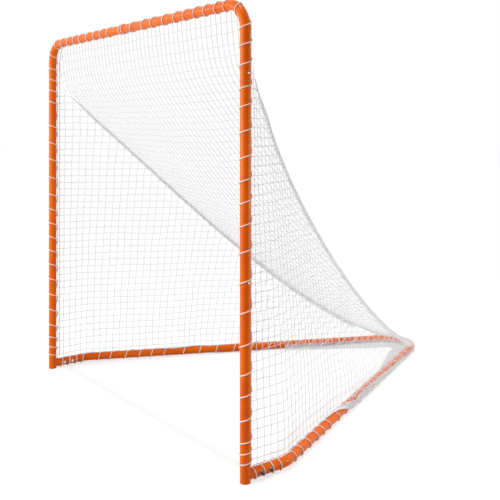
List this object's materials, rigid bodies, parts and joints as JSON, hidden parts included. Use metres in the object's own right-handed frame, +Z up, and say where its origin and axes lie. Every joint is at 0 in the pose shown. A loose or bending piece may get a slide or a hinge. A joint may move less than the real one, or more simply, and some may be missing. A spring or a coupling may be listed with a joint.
{
  "type": "lacrosse goal",
  "caption": "Lacrosse goal with a square tubular mouth, a V-shaped ground frame running back to a round apex, and a square-mesh net laced on with cord.",
  "frame": {"origin": "on the ground under the middle of the goal: midway between the posts and midway from front to back", "axes": "+X along the mouth to the right as seen from in front, +Y back to the apex, +Z up"},
  "size_m": [1.9414, 1.9778, 1.8763],
  "materials": {
    "orange_powder_coat": "glossy orange powder coat",
    "zinc_plated_tube": "plain zinc-plated steel",
    "zinc_plate": "bright zinc plate",
    "spring_steel": "dark spring steel",
    "black_plastic": "black plastic",
    "white_net_twine": "white braided twine",
    "cream_lacing_cord": "cream braided cord",
    "grey_seam_cord": "light grey seam cord"
  },
  "bodies": {
    "goal": {"corner_tube_left": "orange_powder_coat", "lower_post_left": "orange_powder_coat", "middle_post_left": "orange_powder_coat", "base_side_tube_left": "orange_powder_coat", "base_spigot_left": "zinc_plated_tube", "corner_tube_right": "orange_powder_coat", "lower_post_right": "orange_powder_coat", "middle_post_right": "orange_powder_coat", "base_side_tube_right": "orange_powder_coat", "base_spigot_right": "zinc_plated_tube", "rear_bow": "orange_powder_coat", "lower_post_left_leaf_spring": "spring_steel", "lower_post_right_leaf_spring": "spring_steel", "post_left_leaf_spring": "spring_steel", "post_right_leaf_spring": "spring_steel", "crossbar_leaf_spring": "spring_steel", "bow_left_leaf_spring": "spring_steel", "bow_right_leaf_spring": "spring_steel", "base_bolt_left_front": "zinc_plate", "base_cap_nut_left_front": "black_plastic", "base_washer_left_front_outer": "zinc_plate", "base_washer_left_front_inner": "zinc_plate", "base_bolt_left_rear": "zinc_plate", "base_cap_nut_left_rear": "black_plastic", "base_washer_left_rear_outer": "zinc_plate", "base_washer_left_rear_inner": "zinc_plate", "base_bolt_right_front": "zinc_plate", "base_cap_nut_right_front": "black_plastic", "base_washer_right_front_outer": "zinc_plate", "base_washer_right_front_inner": "zinc_plate", "base_bolt_right_rear": "zinc_plate", "base_cap_nut_right_rear": "black_plastic", "base_washer_right_rear_outer": "zinc_plate", "base_washer_right_rear_inner": "zinc_plate", "net_side_left": "white_net_twine", "net_side_right": "white_net_twine", "net_back": "white_net_twine", "net_apex_gather": "white_net_twine", "ridge_cord_left": "grey_seam_cord", "ridge_cord_right": "grey_seam_cord", "lacing_post_left": "cream_lacing_cord", "lacing_post_right": "cream_lacing_cord", "lacing_crossbar": "cream_lacing_cord", "lacing_base_left": "cream_lacing_cord", "lacing_base_right": "cream_lacing_cord"},
    "lower_post_left_button": {"lower_post_left_button": "zinc_plate"},
    "lower_post_right_button": {"lower_post_right_button": "zinc_plate"},
    "post_left_button": {"post_left_button": "zinc_plate"},
    "post_right_button": {"post_right_button": "zinc_plate"},
    "crossbar_button": {"crossbar_button": "zinc_plate"},
    "bow_left_button": {"bow_left_button": "zinc_plate"},
    "bow_right_button": {"bow_right_button": "zinc_plate"}
  },
  "joints": [
    {"name": "lower_post_left_button_press", "type": "slide", "parent": "goal", "child": "lower_post_left_button", "axis": [1, 0, 0], "range_m": [0, 0.0072], "stiffness_N_per_m": 1500, "springref_m": -0.002, "deforming": ["lower_post_left_leaf_spring"]},
    {"name": "lower_post_right_button_press", "type": "slide", "parent": "goal", "child": "lower_post_right_button", "axis": [-1, 0, 0], "range_m": [0, 0.0072], "stiffness_N_per_m": 1500, "springref_m": -0.002, "deforming": ["lower_post_right_leaf_spring"]},
    {"name": "post_left_button_press", "type": "slide", "parent": "goal", "child": "post_left_button", "axis": [1, 0, 0], "range_m": [0, 0.0072], "stiffness_N_per_m": 1500, "springref_m": -0.002, "deforming": ["post_left_leaf_spring"]},
    {"name": "post_right_button_press", "type": "slide", "parent": "goal", "child": "post_right_button", "axis": [-1, 0, 0], "range_m": [0, 0.0072], "stiffness_N_per_m": 1500, "springref_m": -0.002, "deforming": ["post_right_leaf_spring"]},
    {"name": "crossbar_button_press", "type": "slide", "parent": "goal", "child": "crossbar_button", "axis": [0, 0, -1], "range_m": [0, 0.0072], "stiffness_N_per_m": 1500, "springref_m": -0.002, "deforming": ["crossbar_leaf_spring"]},
    {"name": "bow_left_button_press", "type": "slide", "parent": "goal", "child": "bow_left_button", "axis": [-0.8979, 0.4403, 0], "range_m": [0, 0.0072], "stiffness_N_per_m": 1500, "springref_m": -0.002, "deforming": ["bow_left_leaf_spring"]},
    {"name": "bow_right_button_press", "type": "slide", "parent": "goal", "child": "bow_right_button", "axis": [0.8979, 0.4403, 0], "range_m": [0, 0.0072], "stiffness_N_per_m": 1500, "springref_m": -0.002, "deforming": ["bow_right_leaf_spring"]}
  ]
}
